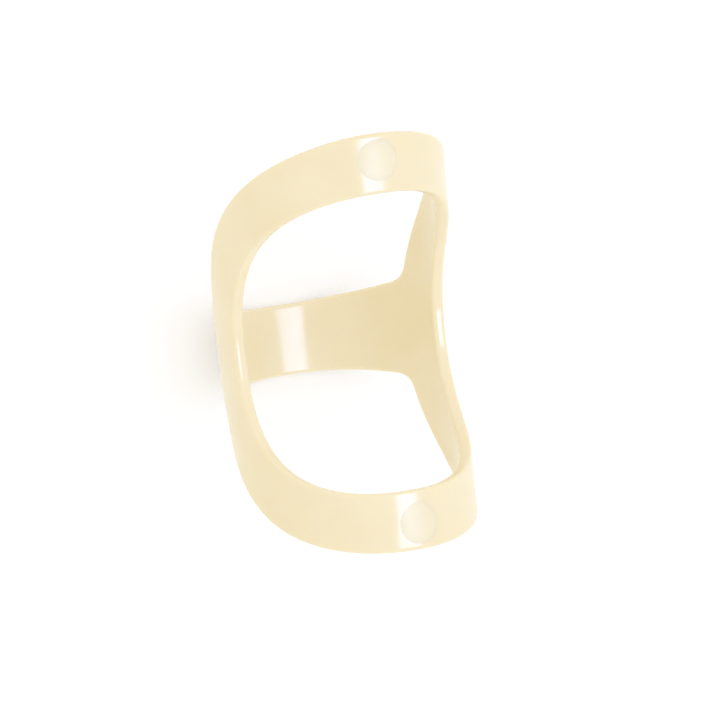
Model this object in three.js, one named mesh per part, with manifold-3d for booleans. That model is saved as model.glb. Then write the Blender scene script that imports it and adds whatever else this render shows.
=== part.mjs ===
// Three-point finger splint, moulded in one piece, in millimetres.
// It lies on its back: +Y runs along the finger, +Z points out of the open front, +X to the right.
// The origin is on the surface it lies on, under the middle of its box.

import * as THREE from 'three';
import { mergeVertices } from 'three/addons/utils/BufferGeometryUtils.js';
import Module from 'manifold-3d';

// Finger passage, inside the wall, seen along the finger
const innerWidth = 19.0;
const innerFrontDepth = 9.4; // from the widest line to the end bands
const innerBackDepth = 8.82; // from the widest line to the middle band
const frontSquareness = 2.12; // 2 is a true oval, a larger number is squarer
const backFlatness = 2.45; // the same across the back: a larger number has a flatter middle
const backFullness = 1.65; // the same towards the sides: a smaller number falls away sooner

// Moulded wall
const wall = 1.1;
const edgeRounding = 0.35; // how far the round of a free edge reaches into the wall's face
const edgeSquareness = 3.2; // of the rim across the wall: a larger number has a flatter middle

// Lengths along the finger, from the middle band's centre line
const upperReach = 18.2;
const lowerReach = 18.0;
const upperSquareness = 2.02; // of the outline towards that end
const lowerSquareness = 2.21;

// Window between the end bands
const endBandHeight = 5.23; // at the front centre
const windowSideGap = 0.86; // arc by which the window stops short of the widest line
const upperWindowSquareness = 2.24;
const lowerWindowSquareness = 2.43;

// Middle band and side rails
const middleBandHeight = 6.15; // at the back centre
const middleBandFlare = 1.13; // what each edge of the band gains on its way to the rail
const railWidth = 4.7; // arc from the window to the outline's widest point
const filletReach = 1.4; // from the corner between rail and middle band to each end of its fillet
const filletFullness = 0.73; // how far the fillet's handles reach towards that corner

// The two ends differ a little in width, so the splint fits tighter one way round
const endTaper = 0.031; // share of the section gained from the middle to the upper end
const endFlare = 0.033; // share of its width gained at both ends alike

// Blank round pads on the end bands
const padDiameter = 3.2;
const padHeight = 0.05;
const padEndShift = 0.3; // from the middle of its band towards the end
const lowerPadOffset = 0.35; // arc from the front centre to the right

// Flat land under the middle band, on which the splint lies
const landWidth = 4.6;

// Fineness of the faceted surface
const sectionSamples = 720;
const halvings = 40;
const curveSamples = 240;
const frontSteps = 22;
const filletSteps = 5;
const bandSteps = 9;
const edgeSteps = 3;
const faceSteps = 3;
const padRings = 3;
const padSides = 24;

// Sizes worked out from the ones above
const midWidth = innerWidth / 2 + wall / 2;
const frontHalf = {
  depth: innerFrontDepth + wall / 2,
  flatness: frontSquareness,
  fullness: frontSquareness,
};
const backHalf = {
  depth: innerBackDepth + wall / 2,
  flatness: backFlatness,
  fullness: backFullness,
};

// A point of a superoval, (x / halfWidth) ^ flatness + (y / halfHeight) ^ fullness = 1
function superOval(angle, halfWidth, halfHeight, flatness, fullness) {
  const across = Math.cos(angle);
  const up = Math.sin(angle);
  return {
    x: halfWidth * Math.sign(across) * Math.abs(across) ** (2 / flatness),
    y: halfHeight * Math.sign(up) * Math.abs(up) ** (2 / fullness),
  };
}

// The wall's middle line seen along the finger, from the front centre round the right side to the back
function measureSection() {
  const table = [];
  let arc = 0;
  for (let i = 0; i <= sectionSamples; i++) {
    const angle = Math.PI / 2 - (Math.PI * i) / sectionSamples;
    const half = i <= sectionSamples / 2 ? frontHalf : backHalf;
    const point = superOval(angle, midWidth, half.depth, half.flatness, half.fullness);
    if (i > 0) {
      arc += Math.hypot(point.x - table[i - 1].x, point.y - table[i - 1].y);
    }
    table.push({ arc, x: point.x, y: point.y });
  }
  return table;
}

const section = measureSection();
const backArc = section[sectionSamples].arc;
const windowArc = section[sectionSamples / 2].arc - windowSideGap;

// Point and outward normal of that line at an arc length; a negative arc is on the left side
function sectionPoint(arc) {
  const length = Math.min(Math.abs(arc), backArc);
  let low = 0;
  let high = sectionSamples;
  while (high - low > 1) {
    const middle = (low + high) >> 1;
    if (section[middle].arc <= length) {
      low = middle;
    } else {
      high = middle;
    }
  }
  const share = (length - section[low].arc) / (section[high].arc - section[low].arc);
  const x = THREE.MathUtils.lerp(section[low].x, section[high].x, share);
  const y = THREE.MathUtils.lerp(section[low].y, section[high].y, share);
  const { depth, flatness, fullness } = y >= 0 ? frontHalf : backHalf;
  const normalX = (flatness / midWidth) * Math.abs(x / midWidth) ** (flatness - 1);
  const normalY = (fullness / depth) * Math.sign(y) * Math.abs(y / depth) ** (fullness - 1);
  const size = Math.hypot(normalX, normalY);
  const side = arc < 0 ? -1 : 1;
  return { x: side * x, y, normalX: (side * normalX) / size, normalY: normalY / size };
}

// The back's outer face is flat where it would pass the land's edge
const landEdge = sectionPoint(backArc - landWidth / 2);
const landLevel = -(landEdge.y + (landEdge.normalY * wall) / 2);

// From the unrolled pattern to the solid: arc round the finger, length along it, offset from mid-wall
function place(arc, along, offset) {
  const at = sectionPoint(arc);
  const end = along / ((upperReach + lowerReach) / 2);
  const taper = 1 + endTaper * end;
  const x = at.x * (taper + endFlare * end * end) + at.normalX * offset;
  const forward = at.y * taper + at.normalY * offset;
  const height = Math.max(forward, -landLevel) + landLevel;
  const middle = (upperReach - lowerReach) / 2;
  return new THREE.Vector3(x, along - middle, height);
}

// Half the middle band's height at an arc round the finger
function bandEdge(arc) {
  const share = (backArc - arc) / (backArc - windowArc - railWidth);
  return middleBandHeight / 2 + middleBandFlare * share * share;
}

// Even stations along a curve of the pattern, each with its normal into the material on the given side
function stations(curve, count, side) {
  const points = curve.getSpacedPoints(count);
  return points.map((point, i) => {
    const tangent = curve.getTangentAt(i / count);
    return { point, normal: new THREE.Vector2(-tangent.y, tangent.x).multiplyScalar(side) };
  });
}

// A curve of the pattern given by a formula from 0 to 1
class FormulaCurve extends THREE.Curve {
  constructor(formula) {
    super();
    this.formula = formula;
    this.arcLengthDivisions = curveSamples;
  }

  getPoint(share, target = new THREE.Vector2()) {
    return target.copy(this.formula(share));
  }
}

function ovalCurve(halfWidth, halfHeight, squareness, lastAngle) {
  return new FormulaCurve((share) => {
    const angle = THREE.MathUtils.lerp(Math.PI / 2, lastAngle, share);
    const point = superOval(angle, halfWidth, halfHeight, squareness, squareness);
    return new THREE.Vector2(point.x, point.y);
  });
}

// Edge of the window, from the front centre down to the rail's narrowest place
function windowStations(reach, squareness) {
  const halfHeight = reach - endBandHeight;
  const curve = ovalCurve(windowArc, halfHeight, squareness, 0);
  const row = stations(curve, frontSteps, 1);
  row[0].normal.set(0, 1);
  row[frontSteps].normal.set(1, 0);
  return row;
}

// Angle at which the oval outline comes down to the middle band's edge
function cornerAngle(halfWidth, reach, squareness) {
  let low = 0;
  let high = Math.PI / 2;
  for (let i = 0; i < halvings; i++) {
    const middle = (low + high) / 2;
    const point = superOval(middle, halfWidth, reach, squareness, squareness);
    if (point.y > bandEdge(point.x)) {
      high = middle;
    } else {
      low = middle;
    }
  }
  return high;
}

// Outer edge, from the front centre round the end band, down the rail and along the middle band
function outlineStations(reach, squareness) {
  const halfWidth = windowArc + railWidth;
  const lastAngle = cornerAngle(halfWidth, reach, squareness);
  const whole = ovalCurve(halfWidth, reach, squareness, lastAngle);
  const corner = whole.getPoint(1);
  const kept = whole.getUtoTmapping(1 - filletReach / whole.getLength());
  const railAngle = THREE.MathUtils.lerp(Math.PI / 2, lastAngle, kept);
  const rail = ovalCurve(halfWidth, reach, squareness, railAngle);
  const railEnd = rail.getPoint(1);
  const bandStart = new THREE.Vector2(corner.x + filletReach, bandEdge(corner.x + filletReach));
  const fillet = new THREE.CubicBezierCurve(
    railEnd,
    railEnd.clone().lerp(corner, filletFullness),
    bandStart.clone().lerp(corner, filletFullness),
    bandStart,
  );
  const band = new FormulaCurve((share) => {
    const arc = THREE.MathUtils.lerp(bandStart.x, backArc, share);
    return new THREE.Vector2(arc, bandEdge(arc));
  });
  const row = [
    ...stations(rail, frontSteps, -1),
    ...stations(fillet, filletSteps, -1).slice(1),
    ...stations(band, bandSteps, -1).slice(1),
  ];
  row[0].normal.set(0, -1);
  row[row.length - 1].normal.set(0, -1);
  return row;
}

// The rows of a rounded free edge, from its rim, where the wall has no thickness, to its full wall
function edgeRows(row) {
  const rows = [];
  for (let i = 0; i <= edgeSteps; i++) {
    const turn = (Math.PI / 2) * (i / edgeSteps);
    const round = superOval(turn, edgeRounding, wall / 2, edgeSquareness, edgeSquareness);
    const depth = edgeRounding - round.x;
    rows.push(row.map(({ point, normal }) => ({
      arc: point.x + normal.x * depth,
      along: point.y + normal.y * depth,
      halfWall: round.y,
    })));
  }
  return rows;
}

// The rows of the wall's face between the window's edge, or the centre line behind it, and the outline's
function faceRows(windowRow, outlineRow) {
  const inner = [...windowRow];
  const start = windowRow[windowRow.length - 1].arc;
  const rest = outlineRow.length - windowRow.length;
  for (let i = 1; i <= rest; i++) {
    inner.push({ arc: THREE.MathUtils.lerp(start, backArc, i / rest), along: 0, halfWall: wall / 2 });
  }
  const rows = [];
  for (let i = 0; i <= faceSteps; i++) {
    const share = i / faceSteps;
    rows.push(inner.map((from, j) => ({
      arc: THREE.MathUtils.lerp(from.arc, outlineRow[j].arc, share),
      along: THREE.MathUtils.lerp(from.along, outlineRow[j].along, share),
      halfWall: wall / 2,
    })));
  }
  return rows;
}

// Both faces of a grid of pattern points, on one side of the finger and towards one end
function addGrid(positions, rows, side, end) {
  for (const face of [1, -1]) {
    const placed = (at) => place(side * at.arc, end * at.along, face * at.halfWall);
    const grid = rows.map((row) => row.map(placed));
    const outward = side * end * face > 0;
    for (let i = 0; i + 1 < grid.length; i++) {
      for (let j = 0; j + 1 < grid[i].length; j++) {
        addQuad(positions, grid[i][j], grid[i][j + 1], grid[i + 1][j + 1], grid[i + 1][j], outward);
      }
    }
  }
}

function addQuad(positions, a, b, c, d, forward) {
  const corners = forward ? [a, b, c, a, c, d] : [a, c, b, a, d, c];
  for (const corner of corners) {
    positions.push(corner.x, corner.y, corner.z);
  }
}

function closedGeometry(positions) {
  const geometry = new THREE.BufferGeometry();
  geometry.setAttribute('position', new THREE.Float32BufferAttribute(positions, 3));
  return withoutFlatFaces(mergeVertices(geometry, 1e-4));
}

// Leaves out triangles two of whose corners have merged into one
function withoutFlatFaces(geometry) {
  const index = geometry.index.array;
  const kept = [];
  for (let i = 0; i < index.length; i += 3) {
    const [a, b, c] = [index[i], index[i + 1], index[i + 2]];
    if (a !== b && b !== c && c !== a) {
      kept.push(a, b, c);
    }
  }
  geometry.setIndex(kept);
  return geometry;
}

// The moulding: bands, rails and middle band as one closed wall
function shellGeometry() {
  const positions = [];
  const ends = [
    { end: 1, reach: upperReach, outer: upperSquareness, inner: upperWindowSquareness },
    { end: -1, reach: lowerReach, outer: lowerSquareness, inner: lowerWindowSquareness },
  ];
  for (const { end, reach, outer, inner } of ends) {
    const windowEdge = edgeRows(windowStations(reach, inner));
    const outlineEdge = edgeRows(outlineStations(reach, outer));
    const face = faceRows(windowEdge[edgeSteps], outlineEdge[edgeSteps]);
    const backwards = [...outlineEdge].reverse();
    for (const side of [1, -1]) {
      addGrid(positions, windowEdge, side, end);
      addGrid(positions, face, side, end);
      addGrid(positions, backwards, side, end);
    }
  }
  return closedGeometry(positions);
}

// A shallow round pad that follows the band's outer face and starts inside its wall
function padGeometry(centreArc, centreAlong) {
  const positions = [];
  const radius = padDiameter / 2;
  const top = wall / 2 + padHeight;
  const at = (ring, corner, offset) => {
    const angle = (2 * Math.PI * corner) / padSides;
    const reach = (radius * ring) / padRings;
    return place(centreArc + reach * Math.cos(angle), centreAlong + reach * Math.sin(angle), offset);
  };
  for (let corner = 0; corner < padSides; corner++) {
    const next = (corner + 1) % padSides;
    for (let ring = 0; ring < padRings; ring++) {
      addQuad(positions, at(ring, corner, top), at(ring + 1, corner, top), at(ring + 1, next, top),
        at(ring, next, top), true);
      addQuad(positions, at(ring, corner, 0), at(ring + 1, corner, 0), at(ring + 1, next, 0),
        at(ring, next, 0), false);
    }
    addQuad(positions, at(padRings, corner, 0), at(padRings, next, 0), at(padRings, next, top),
      at(padRings, corner, top), true);
  }
  return closedGeometry(positions);
}

const library = await Module();
library.setup();

function solidOf(geometry) {
  return new library.Manifold(new library.Mesh({
    numProp: 3,
    vertProperties: new Float32Array(geometry.attributes.position.array),
    triVerts: new Uint32Array(geometry.index.array),
  }));
}

function geometryOf(solid) {
  const mesh = solid.getMesh();
  const geometry = new THREE.BufferGeometry();
  geometry.setAttribute('position', new THREE.Float32BufferAttribute(mesh.vertProperties, mesh.numProp));
  geometry.setIndex(Array.from(mesh.triVerts));
  geometry.computeVertexNormals();
  return geometry;
}

function splintBody() {
  const fromEnd = endBandHeight / 2 - padEndShift;
  const upperPad = padGeometry(0, upperReach - fromEnd);
  const lowerPad = padGeometry(lowerPadOffset, fromEnd - lowerReach);
  const solid = solidOf(shellGeometry()).add(solidOf(upperPad)).add(solidOf(lowerPad));
  const plastic = new THREE.MeshStandardMaterial({ color: 0xf1e4c4, roughness: 0.28, metalness: 0 });
  const body = new THREE.Mesh(geometryOf(solid), plastic);
  body.name = 'splint_body';
  return body;
}

const splint = new THREE.Group();
splint.add(splintBody());

export default splint;
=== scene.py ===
# Studio scene of a three-point finger splint, moulded in one piece of cream plastic.
# It lies on its back on a pale floor: +Y runs along the finger and +Z points out of the open front.
# Lengths are in metres and angles in degrees.

import math

import bmesh
import bpy
import numpy as np
from mathutils import Matrix, Vector


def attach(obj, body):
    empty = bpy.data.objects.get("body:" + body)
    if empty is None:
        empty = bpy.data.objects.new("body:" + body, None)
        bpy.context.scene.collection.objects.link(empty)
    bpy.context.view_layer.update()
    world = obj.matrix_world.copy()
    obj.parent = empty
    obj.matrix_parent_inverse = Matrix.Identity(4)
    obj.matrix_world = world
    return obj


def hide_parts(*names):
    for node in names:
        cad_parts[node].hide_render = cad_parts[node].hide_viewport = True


MM = 0.001

# Finger passage, inside the wall, seen along the finger
INNER_WIDTH = 19.0 * MM
INNER_FRONT_DEPTH = 9.4 * MM
INNER_BACK_DEPTH = 8.82 * MM
FRONT_SQUARENESS = 2.12
BACK_FLATNESS = 2.45
BACK_FULLNESS = 1.65

# Moulded wall, how far the round of a free edge reaches into its face, and how flat the rim is
WALL = 1.1 * MM
EDGE_ROUNDING = 0.35 * MM
EDGE_SQUARENESS = 3.2

# Lengths along the finger, from the middle band's centre line
UPPER_REACH = 18.2 * MM
LOWER_REACH = 18.0 * MM
UPPER_SQUARENESS = 2.02
LOWER_SQUARENESS = 2.21

# Window between the end bands
END_BAND_HEIGHT = 5.23 * MM
WINDOW_SIDE_GAP = 0.86 * MM
UPPER_WINDOW_SQUARENESS = 2.24
LOWER_WINDOW_SQUARENESS = 2.43

# Middle band and side rails
MIDDLE_BAND_HEIGHT = 6.15 * MM
MIDDLE_BAND_FLARE = 1.13 * MM
RAIL_WIDTH = 4.7 * MM
FILLET_REACH = 1.4 * MM
FILLET_FULLNESS = 0.73

# How the section changes towards the ends, as shares of its size
END_TAPER = 0.031
END_FLARE = 0.033

# Blank round pads on the end bands: the crown runs out a skirt past the diameter, a dip under the face
PAD_DIAMETER = 3.2 * MM
PAD_HEIGHT = 0.05 * MM
PAD_END_SHIFT = 0.3 * MM
LOWER_PAD_OFFSET = 0.35 * MM
PAD_SKIRT = 0.25 * MM
PAD_DIP = 0.005 * MM
PAD_SINK = 0.25 * MM

# Flat land under the middle band, and how softly it meets the round of the back
LAND_WIDTH = 4.6 * MM
LAND_SOFTNESS = 0.015 * MM

# Finishes of the moulding and of its pads: each between two close shades and two roughnesses
GLOSS = {
    "shades": ((0.82, 0.715, 0.47), (0.84, 0.742, 0.505)),
    "roughness": (0.12, 0.2),
    "grain_size": 0.25 * MM,
    "grain_depth": 0.0006 * MM,
}
MATT = {
    "shades": ((0.82, 0.725, 0.505), (0.84, 0.75, 0.54)),
    "roughness": (0.28, 0.36),
    "grain_size": 0.08 * MM,
    "grain_depth": 0.0012 * MM,
}
PLASTIC_IOR = 1.49

# Size of the plastic's cloudy shades, of its smudges and of the waves in its surface
CLOUD_SIZE = 5 * MM
SMUDGE_SIZE = 1.8 * MM
WAVE_SIZE = 3.5 * MM
WAVE_DEPTH = 0.045 * MM

# Light that scatters in the plastic: its share, its reach, and the reach's shares for red, green and blue
SCATTER_SHARE = 0.25
SCATTER_REACH = 0.6 * MM
SCATTER_COLOURS = (1.0, 0.75, 0.4)

# Most of a noise's values lie between these two
NOISE_LOW = 0.3
NOISE_HIGH = 0.7

# Fineness of the meshes
SECTION_SAMPLES = 6000
CURVE_SAMPLES = 3000
FRONT_STEPS = 100
FILLET_STEPS = 18
BAND_STEPS = 40
EDGE_STEPS = 12
FACE_STEPS = 20
PAD_RINGS = 40
PAD_SIDES = 96
MERGE_DISTANCE = 0.0005 * MM

# Camera: its turn about the finger from the open front, its rise towards the upper end, and its roll
VIEW_TURN = 29.62
VIEW_RISE = 4.72
VIEW_ROLL = 6.435
VIEW_DISTANCE = 0.8687
VIEW_WIDTH = 61.94 * MM
VIEW_RIGHT = 1.756 * MM
VIEW_UP = -1.304 * MM
SENSOR_WIDTH_MM = 36.0
NEAREST = 0.01
FARTHEST = 100

# Soft box that draws the highlights, turned about the finger like the camera, to the other side
BOX_TURN = -23.5
BOX_RISE = -5.5
BOX_DISTANCE = 0.6
BOX_WIDTH = 0.162
BOX_LENGTH = 0.14
BOX_RADIANCE = 10.5
BOX_COLOUR = (0.42, 0.55, 1.0)

# Soft light from all around, and the floor, whose warm white looks neutral under the cool soft box
WORLD_RADIANCE = 1.06
WORLD_COLOUR = (1.0, 0.99, 0.97)
FLOOR_SIZE = 6.0
FLOOR_SHADES = ((0.95, 0.945, 0.92), (0.97, 0.965, 0.94))
FLOOR_CLOUD_SIZE = 80 * MM
FLOOR_ROUGHNESS = 0.9
FLOOR_SPECULAR = 0.1

MID_WIDTH = (INNER_WIDTH + WALL) / 2
FRONT_DEPTH = INNER_FRONT_DEPTH + WALL / 2
BACK_DEPTH = INNER_BACK_DEPTH + WALL / 2
MIDDLE = (UPPER_REACH - LOWER_REACH) / 2


def super_oval(angle, half_width, half_height, flatness, fullness):
    """Points with x not below 0 on (x / half_width) ** flatness + (y / half_height) ** fullness = 1."""
    across = np.maximum(np.cos(angle), 0)
    up = np.sin(angle)
    x = half_width * across ** (2 / flatness)
    y = half_height * np.sign(up) * np.abs(up) ** (2 / fullness)
    return np.stack([x, y], axis=-1)


def lengths_along(points):
    """Length along a polyline at each of its points."""
    steps = np.hypot(*np.diff(points, axis=0).T)
    return np.concatenate([[0], np.cumsum(steps)])


def measure_section():
    """The wall's middle line seen along the finger, from the front centre round to the back centre."""
    angle = np.linspace(math.pi / 2, -math.pi / 2, SECTION_SAMPLES + 1)
    front = super_oval(angle, MID_WIDTH, FRONT_DEPTH, FRONT_SQUARENESS, FRONT_SQUARENESS)
    back = super_oval(angle, MID_WIDTH, BACK_DEPTH, BACK_FLATNESS, BACK_FULLNESS)
    points = np.where(angle[:, None] >= 0, front, back)
    return points, lengths_along(points)


SECTION, SECTION_ARC = measure_section()
BACK_ARC = SECTION_ARC[-1]
WINDOW_ARC = SECTION_ARC[SECTION_SAMPLES // 2] - WINDOW_SIDE_GAP
OUTLINE_ARC = WINDOW_ARC + RAIL_WIDTH


def section_points(arc):
    """Points and outward normals of the section at arc lengths; a negative arc is on the left side."""
    length = np.abs(arc)
    x = np.interp(length, SECTION_ARC, SECTION[:, 0])
    y = np.interp(length, SECTION_ARC, SECTION[:, 1])
    front = y >= 0
    depth = np.where(front, FRONT_DEPTH, BACK_DEPTH)
    flatness = np.where(front, FRONT_SQUARENESS, BACK_FLATNESS)
    fullness = np.where(front, FRONT_SQUARENESS, BACK_FULLNESS)
    normal_x = flatness / MID_WIDTH * (x / MID_WIDTH) ** (flatness - 1)
    normal_y = fullness / depth * np.sign(y) * np.abs(y / depth) ** (fullness - 1)
    size = np.hypot(normal_x, normal_y)
    side = np.where(arc < 0, -1, 1)
    return side * x, y, side * normal_x / size, normal_y / size


def land_level():
    """How far the flat land lies behind the section's widest line."""
    _, y, _, normal_y = section_points(np.array(BACK_ARC - LAND_WIDTH / 2))
    return -float(y + normal_y * WALL / 2)


LAND_LEVEL = land_level()


def place(arc, along, offset):
    """From the unrolled pattern to the solid: arc round the finger, along it, and offset from mid-wall."""
    x, y, normal_x, normal_y = section_points(arc)
    end = along / ((UPPER_REACH + LOWER_REACH) / 2)
    taper = 1 + END_TAPER * end
    across = x * (taper + END_FLARE * end**2) + normal_x * offset
    forward = y * taper + normal_y * offset
    height = LAND_SOFTNESS * np.logaddexp(0, (forward + LAND_LEVEL) / LAND_SOFTNESS)
    return np.stack([across, along - MIDDLE, height], axis=-1)


def band_edge(arc):
    """Half the middle band's height at an arc round the finger."""
    share = (BACK_ARC - arc) / (BACK_ARC - OUTLINE_ARC)
    return MIDDLE_BAND_HEIGHT / 2 + MIDDLE_BAND_FLARE * share**2


def spaced(points, count):
    """Evenly spaced points along a finely sampled curve, and its unit tangents there."""
    length = lengths_along(points)
    at = np.linspace(0, length[-1], count + 1)
    slopes = np.gradient(points, length, axis=0)
    spots = np.stack([np.interp(at, length, points[:, i]) for i in (0, 1)], axis=1)
    tangents = np.stack([np.interp(at, length, slopes[:, i]) for i in (0, 1)], axis=1)
    return spots, tangents / np.linalg.norm(tangents, axis=1, keepdims=True)


def stations(points, count, side):
    """Even stations along a curve of the pattern, with normals into the material on the given side."""
    spots, tangents = spaced(points, count)
    normals = side * np.stack([-tangents[:, 1], tangents[:, 0]], axis=1)
    return spots, normals


def window_stations(reach, squareness):
    """Edge of the window, from the front centre down to the rail's narrowest place."""
    angle = np.linspace(math.pi / 2, 0, CURVE_SAMPLES)
    curve = super_oval(angle, WINDOW_ARC, reach - END_BAND_HEIGHT, squareness, squareness)
    spots, normals = stations(curve, FRONT_STEPS, 1)
    normals[0] = (0, 1)
    normals[-1] = (1, 0)
    return spots, normals


def bezier(a, b, c, d):
    """A finely sampled cubic Bezier curve."""
    t = np.linspace(0, 1, CURVE_SAMPLES)[:, None]
    return a * (1 - t) ** 3 + 3 * b * t * (1 - t) ** 2 + 3 * c * t**2 * (1 - t) + d * t**3


def outline_stations(reach, squareness):
    """Outer edge, from the front centre round the end band, down the rail and along the middle band."""
    angle = np.linspace(math.pi / 2, 0, CURVE_SAMPLES)
    oval = super_oval(angle, OUTLINE_ARC, reach, squareness, squareness)
    oval = oval[oval[:, 1] > band_edge(oval[:, 0])]
    corner = oval[-1]
    length = lengths_along(oval)
    rail = oval[length < length[-1] - FILLET_REACH]
    band_start = np.array([corner[0] + FILLET_REACH, band_edge(corner[0] + FILLET_REACH)])
    fillet = bezier(
        rail[-1],
        rail[-1] + FILLET_FULLNESS * (corner - rail[-1]),
        band_start + FILLET_FULLNESS * (corner - band_start),
        band_start,
    )
    band_arc = np.linspace(band_start[0], BACK_ARC, CURVE_SAMPLES)
    band = np.stack([band_arc, band_edge(band_arc)], axis=1)
    parts = [
        stations(rail, FRONT_STEPS, -1),
        stations(fillet, FILLET_STEPS, -1),
        stations(band, BAND_STEPS, -1),
    ]
    spots = np.concatenate([part[0][min(i, 1):] for i, part in enumerate(parts)])
    normals = np.concatenate([part[1][min(i, 1):] for i, part in enumerate(parts)])
    normals[0] = (0, -1)
    normals[-1] = (0, -1)
    return spots, normals


def edge_rows(spots, normals):
    """Rows of a rounded free edge, from rim to full wall, each point as arc, along and half wall."""
    turn = np.linspace(0, math.pi / 2, EDGE_STEPS + 1)
    rounding = super_oval(turn, EDGE_ROUNDING, WALL / 2, EDGE_SQUARENESS, EDGE_SQUARENESS)
    depth = EDGE_ROUNDING - rounding[:, :1]
    half_wall = rounding[:, 1:] + 0 * spots[:, 0]
    arc = spots[:, 0] + normals[:, 0] * depth
    along = spots[:, 1] + normals[:, 1] * depth
    return np.stack([arc, along, half_wall], axis=-1)


def face_rows(window_row, outline_row):
    """Rows of the wall's face from the window's edge, or the centre line behind it, to the outline."""
    rest = len(outline_row) - len(window_row)
    behind = np.zeros((rest, 3))
    behind[:, 0] = np.linspace(window_row[-1, 0], BACK_ARC, rest + 1)[1:]
    behind[:, 2] = WALL / 2
    inner = np.concatenate([window_row, behind])
    share = np.linspace(0, 1, FACE_STEPS + 1)[:, None, None]
    return inner * (1 - share) + outline_row * share


def grid_quads(rows, columns, start, forward):
    """Corner numbers of a grid's quads, turned to face the right way."""
    index = start + np.arange(rows * columns).reshape(rows, columns)
    quads = np.stack([index[:-1, :-1], index[:-1, 1:], index[1:, 1:], index[1:, :-1]], axis=-1)
    quads = quads.reshape(-1, 4)
    return quads if forward else quads[:, ::-1]


def mesh_object(name, grids, material):
    """A smooth closed mesh from grids of points, each with whether its quads already face out."""
    points, quads, start = [], [], 0
    for grid, forward in grids:
        rows, columns = grid.shape[:2]
        points.append(grid.reshape(-1, 3))
        quads.append(grid_quads(rows, columns, start, forward))
        start += rows * columns
    mesh = bpy.data.meshes.new(name)
    mesh.from_pydata(np.concatenate(points).tolist(), [], np.concatenate(quads).tolist())
    body = bmesh.new()
    body.from_mesh(mesh)
    bmesh.ops.remove_doubles(body, verts=body.verts, dist=MERGE_DISTANCE)
    body.to_mesh(mesh)
    body.free()
    mesh.shade_smooth()
    mesh.materials.append(material)
    made = bpy.data.objects.new(name, mesh)
    bpy.context.scene.collection.objects.link(made)
    return made


def moulding_grids():
    """Grids of the wall: both faces of every edge and face, on both sides and towards both ends."""
    ends = (
        (1, UPPER_REACH, UPPER_SQUARENESS, UPPER_WINDOW_SQUARENESS),
        (-1, LOWER_REACH, LOWER_SQUARENESS, LOWER_WINDOW_SQUARENESS),
    )
    grids = []
    for end, reach, outer, inner in ends:
        window = edge_rows(*window_stations(reach, inner))
        outline = edge_rows(*outline_stations(reach, outer))
        face = face_rows(window[-1], outline[-1])
        for rows in (window, face, outline[::-1]):
            for side in (1, -1):
                for wall_face in (1, -1):
                    grid = place(side * rows[..., 0], end * rows[..., 1], wall_face * rows[..., 2])
                    grids.append((grid, side * end * wall_face > 0))
    return grids


def pad_profile():
    """Radius and height above the band of a pad's section, over its shallow crown, then down and under."""
    share = np.linspace(0, 1, PAD_RINGS + 1)
    reach = PAD_DIAMETER / 2 + PAD_SKIRT
    crown = np.stack([reach * share, PAD_HEIGHT - (PAD_HEIGHT + PAD_DIP) * share**2], axis=-1)
    return np.concatenate([crown, [(reach, -PAD_SINK), (0, -PAD_SINK)]])


def pad_grids(centre_arc, centre_along):
    """The grid of a round pad that follows the band's outer face and starts inside its wall."""
    profile = pad_profile()
    angle = np.linspace(0, 2 * math.pi, PAD_SIDES + 1)
    radius = profile[:, :1]
    arc = centre_arc + radius * np.cos(angle)
    along = centre_along + radius * np.sin(angle)
    offset = WALL / 2 + profile[:, 1:] + 0 * angle
    return [(place(arc, along, offset), False)]


def new_material(name):
    """A material with its node tree, shader and object coordinates."""
    material = bpy.data.materials.new(name)
    material.use_nodes = True
    nodes = material.node_tree.nodes
    shader = nodes["Principled BSDF"]
    coordinates = nodes.new("ShaderNodeTexCoord")
    return material, nodes, material.node_tree.links, shader, coordinates.outputs["Object"]


def noise(nodes, links, coordinates, size, detail, roughness=0.5):
    """Noise with blotches of about the given size, and finer ones on top by its detail and roughness."""
    texture = nodes.new("ShaderNodeTexNoise")
    texture.inputs["Scale"].default_value = 1 / size
    texture.inputs["Detail"].default_value = detail
    texture.inputs["Roughness"].default_value = roughness
    links.new(coordinates, texture.inputs["Vector"])
    return texture.outputs["Fac"]


def ranged(nodes, links, value, low, high):
    """Spreads the middle of a noise over a range."""
    spread = nodes.new("ShaderNodeMapRange")
    spread.inputs["From Min"].default_value = NOISE_LOW
    spread.inputs["From Max"].default_value = NOISE_HIGH
    spread.inputs["To Min"].default_value = low
    spread.inputs["To Max"].default_value = high
    links.new(value, spread.inputs["Value"])
    return spread.outputs["Result"]


def blended(nodes, links, factor, first, second):
    """A colour between two, by a factor from 0 to 1."""
    mix = nodes.new("ShaderNodeMix")
    mix.data_type = "RGBA"
    mix.inputs["A"].default_value = (*first, 1)
    mix.inputs["B"].default_value = (*second, 1)
    links.new(factor, mix.inputs["Factor"])
    return mix.outputs["Result"]


def bumped(nodes, links, height, depth, under=None):
    """A bump on top of another normal, if there is one."""
    bump = nodes.new("ShaderNodeBump")
    bump.inputs["Distance"].default_value = depth
    bump.inputs["Strength"].default_value = 1
    links.new(height, bump.inputs["Height"])
    if under is not None:
        links.new(under, bump.inputs["Normal"])
    return bump.outputs["Normal"]


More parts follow.
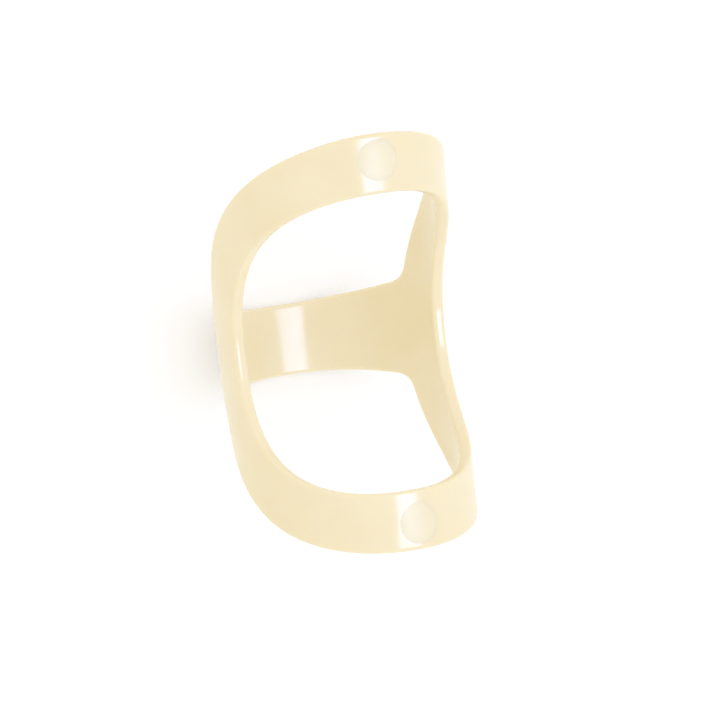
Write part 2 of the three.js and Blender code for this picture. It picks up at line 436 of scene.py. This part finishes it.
def cream_plastic(name, shades, roughness, grain_size, grain_depth):
    """Cream polypropylene: slightly cloudy, with a gloss that varies, faint waves and a fine grain."""
    material, nodes, links, shader, coordinates = new_material(name)
    cloud = noise(nodes, links, coordinates, CLOUD_SIZE, detail=3)
    colour = blended(nodes, links, ranged(nodes, links, cloud, 0, 1), *shades)
    links.new(colour, shader.inputs["Base Color"])
    smudge = noise(nodes, links, coordinates, SMUDGE_SIZE, detail=4, roughness=0.6)
    links.new(ranged(nodes, links, smudge, *roughness), shader.inputs["Roughness"])
    wave = noise(nodes, links, coordinates, WAVE_SIZE, detail=1)
    grain = noise(nodes, links, coordinates, grain_size, detail=3)
    wavy = bumped(nodes, links, wave, WAVE_DEPTH)
    links.new(bumped(nodes, links, grain, grain_depth, wavy), shader.inputs["Normal"])
    shader.inputs["IOR"].default_value = PLASTIC_IOR
    shader.inputs["Subsurface Weight"].default_value = SCATTER_SHARE
    shader.inputs["Subsurface Radius"].default_value = SCATTER_COLOURS
    shader.inputs["Subsurface Scale"].default_value = SCATTER_REACH
    return material


def floor_material():
    """Plain pale matt floor, very faintly cloudy."""
    material, nodes, links, shader, coordinates = new_material("pale_floor")
    cloud = noise(nodes, links, coordinates, FLOOR_CLOUD_SIZE, detail=2)
    colour = blended(nodes, links, ranged(nodes, links, cloud, 0, 1), *FLOOR_SHADES)
    links.new(colour, shader.inputs["Base Color"])
    shader.inputs["Roughness"].default_value = FLOOR_ROUGHNESS
    shader.inputs["Specular IOR Level"].default_value = FLOOR_SPECULAR
    return material


def build_splint():
    """The moulding and its two pads, in place of the plain solid."""
    gloss = cream_plastic("cream_gloss", **GLOSS)
    matt = cream_plastic("cream_matt", **MATT)
    moulding = mesh_object("splint_moulding", moulding_grids(), gloss)
    from_end = END_BAND_HEIGHT / 2 - PAD_END_SHIFT
    upper_pad = mesh_object("upper_pad", pad_grids(0, UPPER_REACH - from_end), matt)
    lower_pad = mesh_object("lower_pad", pad_grids(LOWER_PAD_OFFSET, from_end - LOWER_REACH), matt)
    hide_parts("splint_body")
    for piece in (moulding, upper_pad, lower_pad):
        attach(piece, "root")


def view_axes(turn, rise, roll):
    """Right, up and back of something that looks at the splint from a turn about the finger and a rise."""
    turn, rise, roll = (math.radians(angle) for angle in (turn, rise, roll))
    back = Vector((-math.sin(turn) * math.cos(rise), math.sin(rise), math.cos(turn) * math.cos(rise)))
    level = Vector((math.cos(turn), 0, math.sin(turn)))
    rising = back.cross(level)
    right = level * math.cos(roll) - rising * math.sin(roll)
    up = level * math.sin(roll) + rising * math.cos(roll)
    return right, up, back


def stand(made, axes, location):
    """Turns an object to the axes and puts it at the location."""
    made.matrix_world = Matrix.Translation(location) @ Matrix(axes).transposed().to_4x4()
    bpy.context.scene.collection.objects.link(made)


def section_centre():
    """The middle of the finger passage, level with the middle band."""
    return Vector((0, -MIDDLE, LAND_LEVEL))


def add_camera():
    """A long lens at the photograph's angle."""
    lens = bpy.data.cameras.new("camera")
    lens.sensor_width = SENSOR_WIDTH_MM
    lens.lens = SENSOR_WIDTH_MM * VIEW_DISTANCE / VIEW_WIDTH
    lens.clip_start = NEAREST
    lens.clip_end = FARTHEST
    camera = bpy.data.objects.new("camera", lens)
    right, up, back = view_axes(VIEW_TURN, VIEW_RISE, VIEW_ROLL)
    aim = section_centre() + right * VIEW_RIGHT + up * VIEW_UP
    stand(camera, (right, up, back), aim + back * VIEW_DISTANCE)
    bpy.context.scene.camera = camera


def add_soft_box():
    """A flat light that faces the middle of the splint and casts no shadow."""
    light = bpy.data.lights.new("soft_box", "AREA")
    light.shape = "RECTANGLE"
    light.size = BOX_WIDTH
    light.size_y = BOX_LENGTH
    light.color = BOX_COLOUR
    light.energy = BOX_RADIANCE * math.pi * BOX_WIDTH * BOX_LENGTH
    light.use_shadow = False
    axes = view_axes(BOX_TURN, BOX_RISE, 0)
    stand(bpy.data.objects.new("soft_box", light), axes, section_centre() + axes[2] * BOX_DISTANCE)


def add_surroundings():
    """Nearly white light from all around, and the floor."""
    scene = bpy.context.scene
    world = bpy.data.worlds.new("soft_white")
    world.use_nodes = True
    world.node_tree.nodes["Background"].inputs["Color"].default_value = (*WORLD_COLOUR, 1)
    world.node_tree.nodes["Background"].inputs["Strength"].default_value = WORLD_RADIANCE
    scene.world = world
    scene.view_settings.view_transform = "Standard"
    half = FLOOR_SIZE / 2
    mesh = bpy.data.meshes.new("floor")
    corners = [(-half, -half, 0), (half, -half, 0), (half, half, 0), (-half, half, 0)]
    mesh.from_pydata(corners, [], [(0, 1, 2, 3)])
    mesh.materials.append(floor_material())
    floor = bpy.data.objects.new("floor", mesh)
    scene.collection.objects.link(floor)


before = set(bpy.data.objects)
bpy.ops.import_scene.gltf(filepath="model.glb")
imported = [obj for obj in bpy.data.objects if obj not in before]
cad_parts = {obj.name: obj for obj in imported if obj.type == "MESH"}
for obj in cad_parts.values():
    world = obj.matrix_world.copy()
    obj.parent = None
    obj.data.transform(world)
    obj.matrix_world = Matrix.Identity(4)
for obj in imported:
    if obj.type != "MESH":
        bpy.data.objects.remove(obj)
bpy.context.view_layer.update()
add_camera()
build_splint()
add_soft_box()
add_surroundings()
